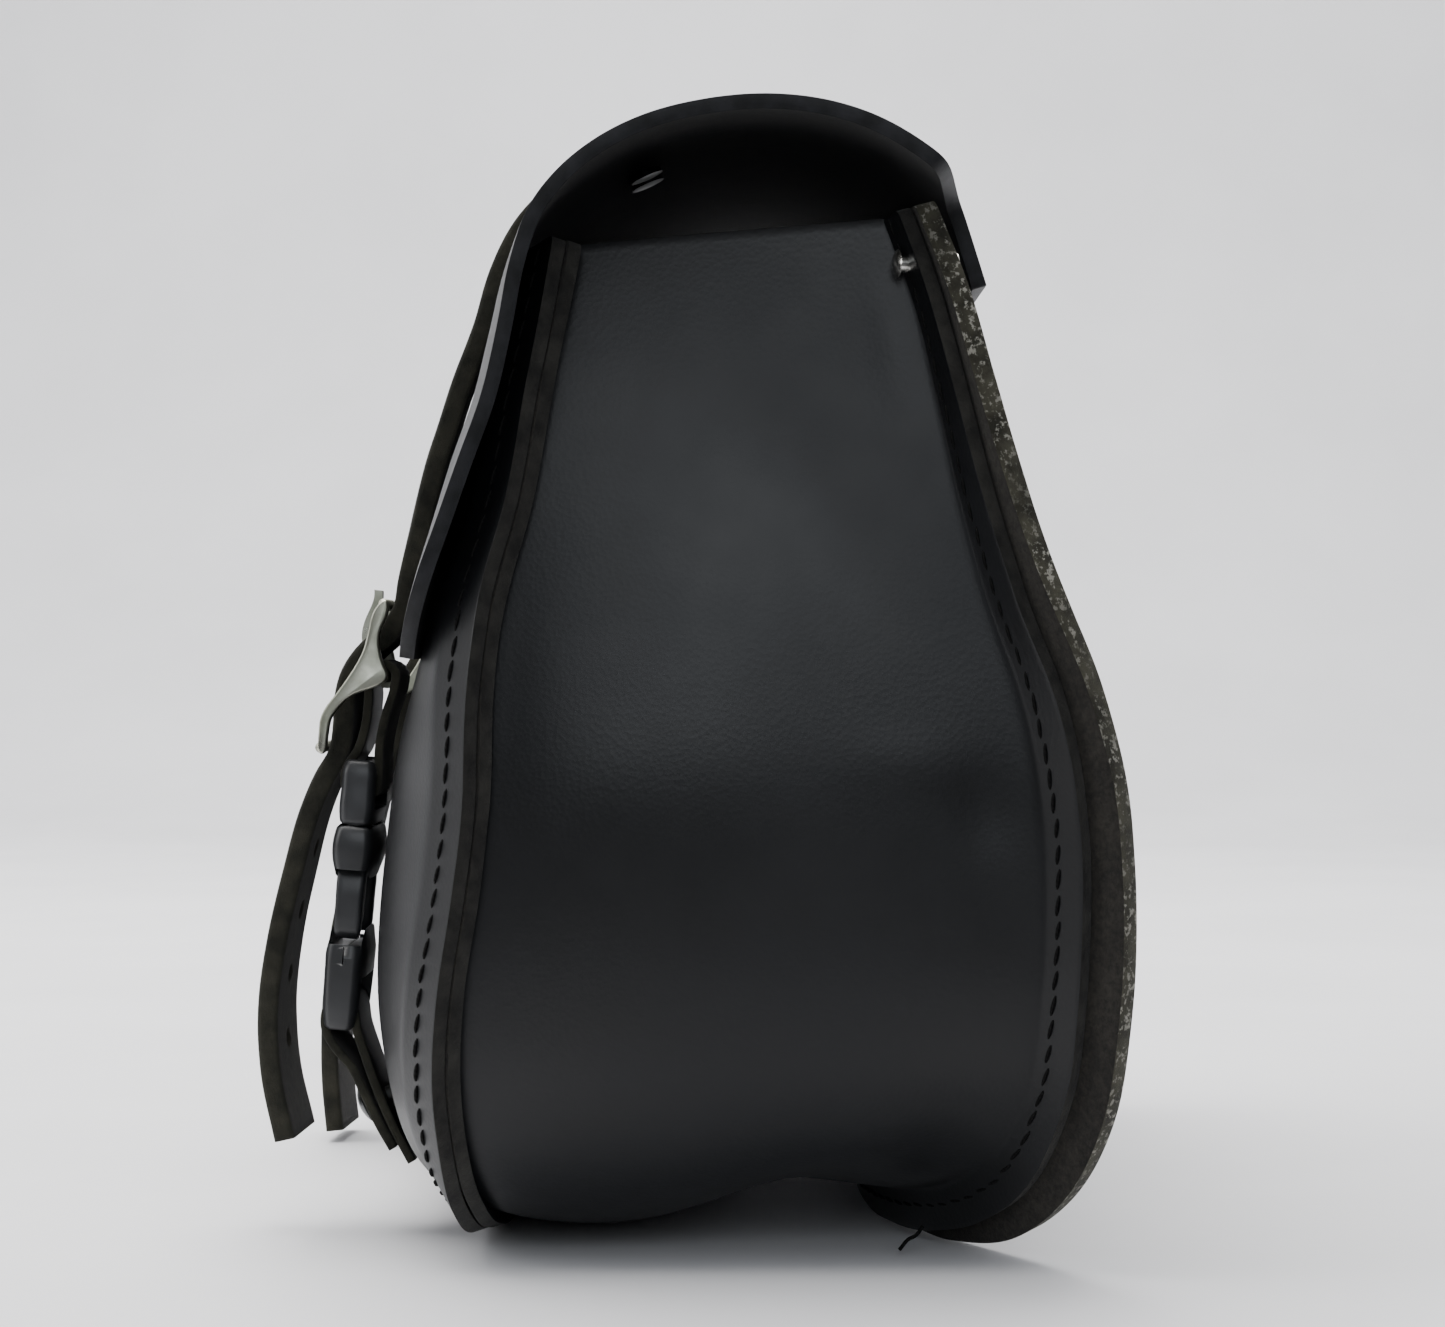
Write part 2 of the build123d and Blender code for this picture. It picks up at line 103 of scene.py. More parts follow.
def facingFrom(vertices, quads, heart, count):
    # the quads wound to face away from the heart point, of whose way only the counted axes matter
    a, b, c = (vertices[quads[:, k]] for k in (0, 1, 2))
    return facing(vertices, quads, ((a + c) / 2 - np.array(heart)) * np.array(count))


def endCaps(first, last, around):
    # the two many-sided faces that close a ringed piece whose rings hold around points each
    return [list(range(first * around, (first + 1) * around))[::-1],
            list(range(last * around, (last + 1) * around))]


def makePiece(name, vertices, faces, materials, faceMaterials=None):
    mesh = bpy.data.meshes.new(name)
    mesh.from_pydata(np.asarray(vertices).tolist(), [], [list(map(int, f)) for f in faces])
    for material in materials:
        mesh.materials.append(material)
    if faceMaterials is not None:
        mesh.polygons.foreach_set("material_index", np.asarray(faceMaterials, np.int32))
    mesh.polygons.foreach_set("use_smooth", np.ones(len(mesh.polygons), bool))
    piece = bpy.data.objects.new(name, mesh)
    bpy.context.scene.collection.objects.link(piece)
    return piece


def mergeDoubles(piece, distance=1e-6):
    bm = bmesh.new()
    bm.from_mesh(piece.data)
    bmesh.ops.remove_doubles(bm, verts=bm.verts, dist=distance)
    bm.to_mesh(piece.data)
    bm.free()


def outwardNormals(piece):
    bm = bmesh.new()
    bm.from_mesh(piece.data)
    bmesh.ops.recalc_face_normals(bm, faces=bm.faces)
    bm.to_mesh(piece.data)
    bm.free()


def addModifier(piece, kind, **settings):
    modifier = piece.modifiers.new(kind.title(), kind)
    for key, value in settings.items():
        setattr(modifier, key, value)
    return modifier


def settle(piece):
    # modifiers applied, so that the mesh is final
    graph = bpy.context.evaluated_depsgraph_get()
    mesh = bpy.data.meshes.new_from_object(piece.evaluated_get(graph))
    piece.modifiers.clear()
    piece.data = mesh
    return piece


def leatherShell(piece, thickness, offset, smoothing=2, edge=0.5 * mm):
    # a sheet becomes leather: smoothed, given its thickness, and its cut edges eased
    addModifier(piece, "SUBSURF", levels=smoothing, render_levels=smoothing)
    addModifier(piece, "SOLIDIFY", thickness=thickness, offset=offset, use_even_offset=True,
                material_offset=1, material_offset_rim=2)
    addModifier(piece, "BEVEL", width=edge, segments=2, limit_method="ANGLE", angle_limit=math.radians(50))
    return settle(piece)


def hand(piece, body, slot, *nodes):
    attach(piece, body)
    if nodes:
        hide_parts(*nodes)


def addNode(tree, kind, inputs=None, **settings):
    made = tree.nodes.new(kind)
    for key, value in settings.items():
        setattr(made, key, value)
    for key, value in (inputs or {}).items():       # a socket is linked, a plain value is set
        if isinstance(value, bpy.types.NodeSocket):
            tree.links.new(value, made.inputs[key])
        else:
            made.inputs[key].default_value = value
    return made


def newMaterial(name, **fixed):
    material = bpy.data.materials.new(name)
    material.use_nodes = True
    tree = material.node_tree
    shader = tree.nodes["Principled BSDF"]
    for key, value in fixed.items():
        shader.inputs[key.replace("_", " ")].default_value = value
    where = addNode(tree, "ShaderNodeTexCoord").outputs["Object"]
    return material, tree, shader, where


def noise(tree, where, scale, detail=3.0, rough=0.55):
    made = addNode(tree, "ShaderNodeTexNoise", {"Vector": where, "Scale": scale, "Detail": detail,
                                                "Roughness": rough})
    return made.outputs["Fac"]


def cells(tree, where, scale):
    return addNode(tree, "ShaderNodeTexVoronoi", {"Vector": where, "Scale": scale}).outputs["Distance"]


def spread(tree, value, low, high, fromLow=0.35, fromHigh=0.65):
    made = addNode(tree, "ShaderNodeMapRange", {"Value": value, "From Min": fromLow, "From Max": fromHigh,
                                                "To Min": low, "To Max": high})
    return made.outputs["Result"]


def combine(tree, how, a, b):
    return addNode(tree, "ShaderNodeMath", {0: a, 1: b}, operation=how).outputs["Value"]


def blendColours(tree, factor, a, b):
    # sockets 6 and 7 of the mix node are its two colours, and its output 2 is the mixed one
    colours = {socket: (*c, 1) if isinstance(c, tuple) else c for socket, c in ((6, a), (7, b))}
    return addNode(tree, "ShaderNodeMix", {"Factor": factor, **colours}, data_type="RGBA").outputs[2]


def bump(tree, shader, height, distance, strength=1.0):
    made = addNode(tree, "ShaderNodeBump", {"Height": height, "Distance": distance, "Strength": strength})
    tree.links.new(made.outputs["Normal"], shader.inputs["Normal"])


grainLeather = {"dark": (0.0022, 0.0024, 0.0029), "light": (0.0048, 0.0052, 0.0063), "cell": 950.0,
                "fibre": 420.0, "cloud": 13.0, "scuff": 55.0, "scuffFrom": 0.66, "scuffTo": 0.80,
                "scuffMost": 0.5, "scuffLift": 2.2, "gloss": (0.34, 0.46), "relief": 0.06 * mm,
                "bump": 0.4}


def leatherMaterial(name, look=grainLeather, tone=1.0):
    # grain: cells of about a millimetre plus finer noise; slow clouds change the colour from dark to
    # light and the gloss; pale scuffs lie where a middling noise peaks
    material, tree, shader, where = newMaterial(name, Specular_IOR_Level=0.34)
    cloud = noise(tree, where, look["cloud"], 4.0)
    scuff = spread(tree, noise(tree, where, look["scuff"], 6.0, 0.7), 0.0, look["scuffMost"],
                   look["scuffFrom"], look["scuffTo"])
    dark = tuple(c * tone for c in look["dark"])
    light = tuple(c * tone for c in look["light"])
    body = blendColours(tree, spread(tree, cloud, 0.0, 1.0), dark, light)
    colour = blendColours(tree, scuff, body, tuple(c * look["scuffLift"] for c in light))
    tree.links.new(colour, shader.inputs["Base Color"])
    tree.links.new(spread(tree, cloud, *look["gloss"]), shader.inputs["Roughness"])
    cell = cells(tree, where, look["cell"])
    fine = noise(tree, where, look["fibre"], 5.0, 0.65)
    bump(tree, shader, combine(tree, "ADD", cell, fine), look["relief"], look["bump"])
    return material


fleshLook = {"fibre": 700.0, "cloud": 60.0, "least": 0.5, "relief": 0.35 * mm, "bump": 0.8}


def fleshMaterial(name, dark=(0.010, 0.009, 0.008), light=(0.030, 0.027, 0.022), look=fleshLook):
    # the leather's back: matt, its colour following fibre (cloud + least), its height the fibre
    material, tree, shader, where = newMaterial(name, Roughness=0.92, Specular_IOR_Level=0.2,
                                                Sheen_Weight=0.05, Sheen_Roughness=0.6)
    fibre = noise(tree, where, look["fibre"], 6.0, 0.75)
    cloud = noise(tree, where, look["cloud"], 3.0)
    mixed = combine(tree, "MULTIPLY", fibre, combine(tree, "ADD", cloud, look["least"]))
    tone = blendColours(tree, spread(tree, mixed, 0.0, 1.0), dark, light)
    tree.links.new(tone, shader.inputs["Base Color"])
    bump(tree, shader, fibre, look["relief"], look["bump"])
    return material


# the specks and their pale colour are broken fibres and painted glints of light off the back panel's rough
# edge
edgeLook = {"fibre": 900.0, "layers": 160.0, "cloud": 75.0, "specks": 620.0, "speckFrom": 0.70,
            "speckTo": 0.78, "speck": (0.30, 0.29, 0.25), "bump": 0.9}


def edgeMaterial(name, dark, light, glintSpeckShare=0.0, rough=0.9, fuzz=0.4 * mm, look=edgeLook):
    # a cut edge: layered fibres, with pale specks where fine noise peaks, peak times cloud; the specks are
    # pale broken fibres and painted glints of light off them
    material, tree, shader, where = newMaterial(name, Roughness=rough, Specular_IOR_Level=0.25,
                                                Sheen_Weight=0.06, Sheen_Roughness=0.5)
    fibre = noise(tree, where, look["fibre"], 6.0, 0.8)
    tone = blendColours(tree, spread(tree, noise(tree, where, look["layers"], 4.0), 0.0, 1.0), dark, light)
    # painted glints: pale specks standing in for light caught by the rough fibres, besides the broken fibres
    # themselves
    if glintSpeckShare:
        cloud = spread(tree, noise(tree, where, look["cloud"], 2.0), 0.2, 1.0)
        peak = spread(tree, noise(tree, where, look["specks"], 3.0, 0.7), 0.0, 1.0,
                      look["speckFrom"] - glintSpeckShare, look["speckTo"] - glintSpeckShare)
        tone = blendColours(tree, combine(tree, "MULTIPLY", peak, cloud), tone, look["speck"])
    tree.links.new(tone, shader.inputs["Base Color"])
    bump(tree, shader, fibre, fuzz, look["bump"])
    return material


metalLook = {"cloud": 130.0, "pits": 900.0, "relief": 0.03 * mm, "bump": 0.5, "gloss": (0.75, 1.3)}


def metalMaterial(name, colour, rough, dull, look=metalLook):
    # plated metal: finger marks change its colour to dull and its roughness, fine pits its height
    material, tree, shader, where = newMaterial(name, Metallic=1.0)
    cloud = noise(tree, where, look["cloud"], 4.0)
    tone = blendColours(tree, spread(tree, cloud, 0.0, 1.0), colour, dull)
    tree.links.new(tone, shader.inputs["Base Color"])
    tree.links.new(spread(tree, cloud, *(rough * part for part in look["gloss"])), shader.inputs["Roughness"])
    bump(tree, shader, noise(tree, where, look["pits"], 4.0), look["relief"], look["bump"])
    return material


plasticLook = {"dark": (0.012, 0.0125, 0.0135), "light": (0.020, 0.021, 0.023), "cloud": 90.0,
               "spark": 1500.0, "gloss": (0.36, 0.48), "relief": 0.05 * mm, "bump": 0.5}


def plasticMaterial(name, look=plasticLook):
    # moulded plastic: faint flow marks in its colour and gloss over a fine spark texture
    material, tree, shader, where = newMaterial(name, Specular_IOR_Level=0.5)
    cloud = noise(tree, where, look["cloud"], 3.0)
    tone = blendColours(tree, spread(tree, cloud, 0.0, 1.0), look["dark"], look["light"])
    tree.links.new(tone, shader.inputs["Base Color"])
    tree.links.new(spread(tree, cloud, *look["gloss"]), shader.inputs["Roughness"])
    bump(tree, shader, noise(tree, where, look["spark"], 2.0), look["relief"], look["bump"])
    return material


threadLook = {"dark": (0.0012, 0.0012, 0.0012), "light": (0.005, 0.0048, 0.0045), "turns": 420.0,
              "wobble": 1.5, "relief": 0.1 * mm, "bump": 0.6}


def threadMaterial(name, look=threadLook):
    # waxed black thread: turns of yarn as slanting waves
    material, tree, shader, where = newMaterial(name, Roughness=0.8, Specular_IOR_Level=0.15)
    wave = addNode(tree, "ShaderNodeTexWave", {"Vector": where, "Scale": look["turns"],
                                               "Distortion": look["wobble"]},
                   bands_direction="DIAGONAL").outputs["Fac"]
    tree.links.new(blendColours(tree, wave, look["dark"], look["light"]), shader.inputs["Base Color"])
    bump(tree, shader, wave, look["relief"], look["bump"])
    return material


panelGrain = leatherMaterial("panelGrain")
gussetGrain = leatherMaterial("gussetGrain", tone=1.1)
backGrain = leatherMaterial("backGrain", tone=0.9)
lidGrain = leatherMaterial("lidGrain")
strapGrain = leatherMaterial("strapGrain", tone=0.85)
flesh = fleshMaterial("flesh")
# a darker copy of the flesh for the lid's underside: painted shade, as the underside lies in the lid's shadow
shadedLidFlesh = fleshMaterial("shadedLidFlesh", (0.007, 0.007, 0.007), (0.016, 0.0155, 0.015))
seamEdge = edgeMaterial("seamEdge", (0.008, 0.0075, 0.0068), (0.026, 0.025, 0.0215))
# the back edge's pale specks are partly painted glints of light off its rough fibres
backEdge = edgeMaterial("backEdge", (0.014, 0.013, 0.008), (0.055, 0.052, 0.036), glintSpeckShare=0.16)
lidEdge = edgeMaterial("lidEdge", (0.004, 0.0043, 0.0050), (0.014, 0.0145, 0.0170), rough=0.6,
                       fuzz=0.1 * mm)
strapEdge = edgeMaterial("strapEdge", (0.008, 0.008, 0.005), (0.026, 0.025, 0.017))
nickel = metalMaterial("nickel", (0.45, 0.45, 0.38), 0.34, (0.28, 0.29, 0.23))
capMetal = metalMaterial("capMetal", (0.90, 0.89, 0.84), 0.22, (0.74, 0.72, 0.64))
blackCap = metalMaterial("blackCap", (0.035, 0.036, 0.038), 0.42, (0.06, 0.06, 0.058))
blackPlastic = plasticMaterial("blackPlastic")
thread = threadMaterial("thread")
print("materials made")


# stations from the mouth to the middle of the bottom: bend x, y, z, lean of the flange in degrees,
# and how far the gusset bows outwards there
seams = {
    "flange": 12.0 * mm, "gap": 0.3 * mm, "backAllowance": 8.0 * mm,
    # rows across a flange, as shares of its width from the bend to the cut edge
    "rows": [0, 0.12, 0.3, 0.55, 0.8, 1.0],
    # share of the back panel's allowance at each height
    "heights": [13.2, 14.6, 18.5, 30, 60, 130, 224], "shares": [0.1, 0.45, 0.8, 0.95, 1.0, 0.75, 0.2],
    "front": [
        (127.6, -29.9, 217.0, 30, 0.6), (130.0, -32.2, 206.0, 32, 1.0), (134.0, -37.0, 184.6, 36, 1.4),
        (136.5, -41.0, 163.6, 38, 1.8), (137.5, -46.7, 142.7, 38, 2.6), (138.5, -49.3, 121.9, 38, 4.0),
        (138.8, -50.0, 101.1, 38, 5.2), (138.5, -52.4, 80.3, 38, 4.4), (137.3, -55.6, 60.0, 38, 3.4),
        (134.0, -56.4, 42.0, 37, 3.4), (127.0, -54.2, 28.0, 33, 4.6), (113.0, -50.6, 19.0, 26, 6.0),
        (94.0, -47.4, 14.8, 18, 7.4), (70.0, -45.0, 13.2, 13, 8.6), (40.0, -44.2, 12.9, 12, 9.2),
        (0.0, -44.0, 12.9, 12, 9.4)],
    "back": [
        (127.5, 45.2, 224.0, 15, 0), (130.5, 51.6, 205.7, 15, 0), (133.7, 56.3, 184.5, 19, 0),
        (136.2, 60.4, 163.5, 26, 0), (138.0, 65.5, 142.7, 34, 0), (139.2, 72.1, 121.9, 42, 0),
        (139.6, 75.7, 101.1, 47, 0), (139.0, 76.7, 80.3, 48, 0), (137.3, 76.0, 60.0, 48, 0),
        (133.0, 74.0, 42.0, 47, 0), (124.5, 69.5, 28.0, 43, 0), (110.0, 61.0, 18.5, 31, 0),
        (92.0, 51.5, 14.6, 24, 0), (70.0, 44.5, 13.5, 22, 0), (40.0, 41.5, 13.2, 20, 0),
        (0.0, 40.5, 13.2, 20, 0)],
}
mirrorX = np.array([-1.0, 1.0, 1.0])
towardBack = np.array([0.0, 1.0, 0.0])
panelLook = {"rowsDown": 34, "columns": 22, "footPower": 6, "ragged": 0.35 * mm}


def seamHalf(which, count):
    # points of half a seam, the outward way square to it in XZ, its flange's way, and the gusset's bow
    s = throughPoints(seams[which], count)
    along = np.gradient(s[:, [0, 2]], axis=0)
    along[-1] = (-1, 0)
    along = unit(along)
    lean = np.radians(s[:, 3])
    out = np.stack([-along[:, 1], 0 * lean, along[:, 0]], axis=1)
    way = out * np.cos(lean)[:, None] + towardBack * np.sin(lean)[:, None]
    return s[:, :3] * mm, out, way, s[:, 4] * mm


def seamWhole(which, count):
    # the half seam and its mirror image in one run, the middle point kept once
    p, out, way, bow = seamHalf(which, count)
    both = [np.concatenate([a, (a * mirrorX)[-2::-1]]) for a in (p, out, way)]
    return both + [np.concatenate([bow, bow[-2::-1]])]


def flangeReach(which, points):
    # width of the flange round the seam; the back panel's own flange stands past the gusset's
    reach = np.full(len(points), seams["flange"])
    if which == "back":
        share = np.interp(points[:, 2] / mm, seams["heights"], seams["shares"])
        reach = reach + seams["backAllowance"] * share
    return reach


def runLength(points):
    # distance along the points, from 0
    return np.concatenate([[0.0], np.cumsum(np.linalg.norm(np.diff(points, axis=0), axis=1))])


frontPanel = {
    "seam": "front", "side": -1, "thickness": 3.2 * mm, "roundness": 4.6,
    "middle": [(-30.2, 217), (-33.8, 205), (-40.6, 184), (-46.8, 165), (-51.3, 150), (-57.6, 126),
               (-62.4, 110), (-65.7, 88), (-67.7, 65), (-67.7, 54), (-66.3, 43), (-63.3, 31),
               (-58.6, 21), (-52.0, 15.2), (-44.0, 12.9)],
}
backPanel = {
    "seam": "back", "side": 1, "thickness": 4.6 * mm, "flat": 72 * mm, "flare": 1.9,
    "middle": [(51.6, 226), (54.8, 217), (57.4, 207), (58.9, 195), (59.4, 182), (59.4, 117), (59.4, 52),
               (57.6, 36), (53.5, 24), (47.5, 15.4), (40.5, 13.2)],
}


def acrossRoll(look, x, xEnd):
    # flat middle then ((x - flat) / (xEnd - flat))^flare, or a crowned (x / xEnd)^roundness
    if "flat" in look:
        return np.clip((x - look["flat"]) / (xEnd - look["flat"]), 0, 1) ** look["flare"]
    return (x / xEnd) ** look["roundness"]


def panelSheet(look, gap):
    # Middle line M(v) runs down the panel, the side seam S(v) down its end, the foot seam F(u) under it:
    # x = S.x u,  y = M.y + (S.y - M.y) turn,  z = M.z + (S.z - M.z) rise. turn goes from the roll across
    # the panel to the foot's own shape as v nears 1, and rise from u squared to the foot's shape.
    down, across = panelLook["rowsDown"], panelLook["columns"]
    p, out, way, bow = seamHalf(look["seam"], down + across + 1)
    side, foot = p[:down + 1], p[down:][::-1]
    middle = throughPoints(look["middle"], down + 1) * mm
    u = foot[:, 0] / foot[-1, 0]
    v = np.linspace(0, 1, down + 1)[:, None]
    footRise = (foot[:, 2] - foot[0, 2]) / (foot[-1, 2] - foot[0, 2])
    footTurn = (foot[:, 1] - foot[0, 1]) / (foot[-1, 1] - foot[0, 1])
    x = side[:, :1] * u
    foothold = v ** panelLook["footPower"]
    turn = acrossRoll(look, x, side[:, :1]) * (1 - foothold) + footTurn * foothold
    rise = u**2 * (1 - v) + footRise * v
    y = middle[:, :1] + (side[:, 1:2] - middle[:, :1]) * turn
    z = middle[:, 1:] + (side[:, 2:] - middle[:, 1:]) * rise
    half = np.stack([x, y, z], axis=2)
    sheet = np.concatenate([(half * mirrorX)[:, :0:-1], half], axis=1)
    field = sheet.reshape(-1, 3)
    fieldFaces = gridFaces(down + 1, 2 * across + 1)

    p, out, way, bow = seamWhole(look["seam"], down + across + 1)
    reach = flangeReach(look["seam"], p) + panelLook["ragged"] * ripple(runLength(p), 7)
    steps = np.array(seams["rows"])[:, None, None]
    strip = (p + way * reach[:, None] * steps).reshape(-1, 3)
    stripFaces = gridFaces(len(steps), len(p), first=len(field))
    points = np.concatenate([field, strip])
    wish = towardBack * look["side"]
    faces = np.concatenate([facing(points, fieldFaces, wish), facing(points, stripFaces, wish)])
    return points + wish * gap, faces


def makePanel(name, look, grain, edge, slot, *nodes):
    # the sheet's field and flange merged at their shared bend, then thickened outwards
    points, faces = panelSheet(look, seams["gap"])
    piece = makePiece(name, points, faces, [grain, flesh, edge])
    mergeDoubles(piece)
    leatherShell(piece, look["thickness"], 1.0)
    hand(piece, "bag", slot, *nodes)


makePanel("front_panel_leather", frontPanel, panelGrain, seamEdge, "panel_leather", "front_panel")
makePanel("back_panel_leather", backPanel, backGrain, backEdge, "back_leather", "back_panel")
print("panels made")


gusset = {
    "thickness": 3.0 * mm, "count": 76, "bowPower": 0.62, "flatter": 0.45, "fullness": 1.12,
    "web": 30, "webEnds": (0.02, 0.98), "ragged": 0.3 * mm, "heart": (0.0, 0.01, 0.12),
    # soft dents and folds: where across (0 front, 1 back), height, their two sizes, depth
    "folds": [(0.90, 98 * mm, 0.05, 9 * mm, 0.9 * mm), (0.80, 109 * mm, 0.10, 5 * mm, -0.4 * mm),
              (0.86, 26 * mm, 0.07, 8 * mm, 2.2 * mm), (0.90, 196 * mm, 0.05, 14 * mm, 0.5 * mm),
              (0.68, 12 * mm, 0.20, 16 * mm, 6.5 * mm),
              (0.55, 168 * mm, 0.30, 16 * mm, 0.9 * mm), (0.10, 120 * mm, 0.06, 30 * mm, 0.8 * mm)]}


def gussetSheet():
    # across: the front flange from its cut edge to the bend, the web f + (b - f) q pushed out by
    # fullness bow sin(pi q^power) (1 - flatter q), then the back flange from its bend to its cut edge
    f, fOut, fWay, bow = seamWhole("front", gusset["count"])
    b, bOut, bWay = seamWhole("back", gusset["count"])[:3]
    steps = np.array(seams["rows"][:0:-1])[:, None, None]
    ragged = (seams["flange"] + gusset["ragged"] * ripple(runLength(f), 3))[:, None]
    front = f + fWay * ragged * steps + towardBack * seams["gap"]
    q = np.linspace(*gusset["webEnds"], gusset["web"])[:, None, None]
    shape = np.sin(math.pi * q ** gusset["bowPower"]) * (1 - gusset["flatter"] * q)
    push = gusset["fullness"] * bow[:, None] * shape + seams["gap"]
    base = f + (b - f) * q
    for at, height, wide, tall, deep in gusset["folds"]:    # each fold is a two-way bell taken off the bow
        push = push - deep * np.exp(-((q - at) / wide)**2 - ((base[:, :, 2:] - height) / tall)**2)
    web = base + (fOut + (bOut - fOut) * q) * push
    back = b + bWay * ragged * steps[::-1] - towardBack * seams["gap"]
    sheet = np.concatenate([front, web, back])
    points = sheet.reshape(-1, 3)
    return points, facingFrom(points, gridFaces(*sheet.shape[:2]), gusset["heart"], (1, 0, 1))


def makeGusset():
    points, faces = gussetSheet()
    piece = makePiece("gusset_leather", points, faces, [gussetGrain, flesh, seamEdge])
    leatherShell(piece, gusset["thickness"], 1.0, smoothing=1)
    hand(piece, "bag", "gusset_leather", "gusset")


makeGusset()
print("gusset made")


lid = {
    "thickness": 3.2 * mm, "half": 150 * mm, "hingeHalf": 124 * mm, "corner": 26 * mm, "rows": 84,
    "columns": 64, "bowPower": 4, "widens": (19 * mm, 25.5 * mm), "crowding": 0.94,
    "heart": (0.0, 0.02, 0.16),
    # outer face from the hinge strip's lower edge over the crown: y, z, and how far the middle stands out
    "profile": [
        (65.3, 210.8, 0), (63.2, 217.5, 0), (61.3, 223.5, 0), (59.2, 228.9, 0.3), (55.2, 233.8, 1.0),
        (49.5, 238.2, 2.0), (41.0, 243.0, 2.6), (30.5, 246.4, 2.8), (20.0, 247.7, 3.0), (4.0, 246.5, 3.0),
        (-8.7, 243.1, 2.6), (-17.5, 238.7, 2.4), (-25.3, 232.6, 2.6), (-31.6, 224.6, 3.8),
        (-35.6, 213.4, 5.4), (-38.2, 200.0, 6.6), (-41.7, 185.0, 7.0), (-46.5, 171.8, 6.8),
        (-50.9, 159.3, 5.8), (-55.2, 147.0, 4.7), (-57.5, 138.0, 4.5), (-58.6, 130.5, 4.6)],
}


def lidSheet():
    # outer face: the profile at the ends plus its normal times bow (1 - (x / half)^power); the half
    # width opens from the hinge strip to the lid by a smooth step and rounds off at the flap's corners
    rows = throughPoints(lid["profile"], lid["rows"])
    line, bow = rows[:, :2] * mm, rows[:, 2] * mm
    run = runLength(line)
    along = unit(np.gradient(line, axis=0))
    normal = np.stack([along[:, 1], -along[:, 0]], axis=1)
    half = lid["hingeHalf"] + (lid["half"] - lid["hingeHalf"]) * smoothStep(*lid["widens"], run)
    toEdge = np.clip(lid["corner"] - (run[-1] - run), 0, None)
    half = half - (lid["corner"] - np.sqrt(lid["corner"]**2 - toEdge**2))
    quarter = math.pi / 2 * lid["crowding"]     # the columns crowd towards the two ends as a sine's do
    u = np.sin(np.linspace(-1, 1, lid["columns"]) * quarter) / math.sin(quarter)
    x = half[:, None] * u
    push = bow[:, None] * (1 - np.abs(x / lid["half"]) ** lid["bowPower"])
    y = line[:, :1] + normal[:, :1] * push
    z = line[:, 1:] + normal[:, 1:] * push
    return np.stack([x, y, z], axis=2)


def makeLid():
    sheet = lidSheet()
    points = sheet.reshape(-1, 3)
    faces = facingFrom(points, gridFaces(*sheet.shape[:2]), lid["heart"], (0, 1, 1))
    piece = makePiece("lid_leather", points, faces, [lidGrain, shadedLidFlesh, lidEdge])
    leatherShell(piece, lid["thickness"], -1.0, smoothing=1, edge=0.8 * mm)
    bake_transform(piece)
    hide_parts("lid", "hinge_strip")
    return sheet


lidGrid = makeLid()
print("lid made")


strapLook = {"x": 75 * mm, "width": 25 * mm, "thickness": 4.6 * mm, "crown": 0.5 * mm, "rows": 150,
             "ragged": 0.2 * mm, "wave": 19 * mm, "clear": 0.5, "lidRow": 40, "everyRow": 4,
             # the lid's rows that the strap follows lie in front of y and above z, in mm
             "front": 5, "above": 200, "sharedFall": 16}
strapHoles = {"count": 4, "top": (-88 * mm, 88 * mm), "pitch": 15 * mm, "way": (0, 1, -0.2),
              "radius": 2.2 * mm, "length": 30 * mm}
strapFall = [
    (-53.2, 193.5), (-56.1, 184.5), (-59.1, 175.4), (-61.4, 166.4), (-63.4, 157.4), (-65.0, 148.5),
    (-65.8, 142.6), (-68.8, 138.0), (-73.8, 133.6), (-77.6, 128.0), (-79.2, 122.0), (-79.5, 116.0),
    (-80.4, 110.2), (-83.4, 105.0), (-86.4, 98.0), (-90.7, 82.4), (-93.9, 68.0), (-95.9, 50.6),
    (-95.0, 36.0), (-91.8, 21.5)]
farTail = [(-95.2, 66.0), (-98.2, 48.0), (-99.3, 30.0), (-99.0, 15.0), (-97.8, 3.0)]    # hangs lower
tabPath = [(-74.0, 100.2), (-75.4, 101.2), (-75.7, 104.8), (-72.8, 110.0), (-71.1, 116.0), (-70.5, 122.0),
           (-70.1, 127.2), (-68.3, 128.4), (-66.5, 127.4), (-66.6, 124.6), (-68.6, 118.0), (-70.1, 110.0),
           (-70.2, 104.8), (-70.8, 101.2), (-72.6, 100.2)]
anchorPath = [(-60.8, 17.4), (-65.4, 26.0), (-68.8, 34.0), (-71.3, 41.0), (-73.2, 47.0), (-73.9, 51.4),
              (-75.4, 54.4), (-78.0, 55.2), (-80.7, 54.0), (-82.2, 50.6), (-82.1, 46.4), (-80.0, 42.4),
              (-76.3, 38.0), (-73.4, 32.0), (-70.2, 25.4), (-66.8, 19.4)]
tabLook = {"thickness": 2.0 * mm, "rows": 90, "crown": 0.15 * mm}


def strapSection(crown):
    # the closed outline of a strap's section, as across (-1 to 1) and deep (0 the grain, 1 the back),
    # counted round: crowned grain face, cut edge, back, cut edge
    a = np.linspace(-0.965, 0.965, 13)
    face = np.stack([a, -crown * (1 - a**2)], axis=1)
    edge = np.array([(0.99, 0.07), (1.0, 0.2), (1.0, 0.5), (1.0, 0.8), (0.99, 0.95)])
    back = np.stack([a[::-1] * 0.99, np.ones(13)], axis=1)
    return np.concatenate([face, edge, back, edge[::-1] * (-1, 1)]), np.repeat([0, 2, 1, 2], [12, 6, 12, 6])


